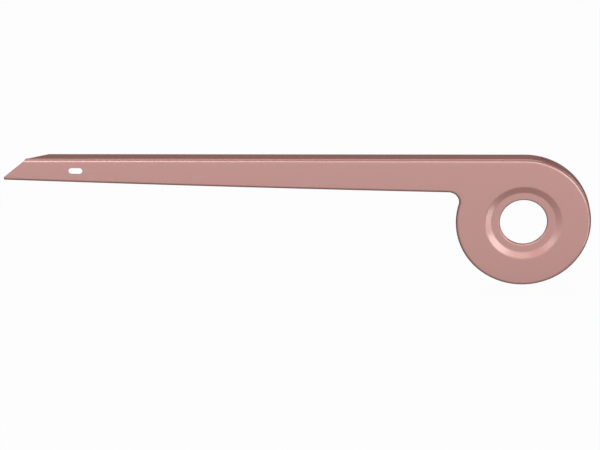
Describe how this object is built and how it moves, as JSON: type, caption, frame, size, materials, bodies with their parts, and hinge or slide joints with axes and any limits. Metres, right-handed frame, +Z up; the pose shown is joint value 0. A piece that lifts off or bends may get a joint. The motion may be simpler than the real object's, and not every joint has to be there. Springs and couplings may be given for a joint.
{
  "type": "bicycle chain guard",
  "caption": "Pressed sheet-metal chain guard for a bicycle: a long tapering arm with a top flange, and a round dished disc with an opening for the crank.",
  "frame": {"origin": "On the crank's axis, halfway along the straight wall of the collar round the crank opening; the face is 3.85 mm in front of it.", "axes": "+X to the front of the bicycle, so the arm runs to -X; +Z up; +Y to the bicycle's frame, so the face looks to -Y."},
  "size_m": [0.5487, 0.0144, 0.1266],
  "materials": {
    "guard_paint": "satin metallic rose-gold paint on sheet metal"
  },
  "bodies": {
    "root": {"chain_guard": "guard_paint"}
  },
  "joints": []
}
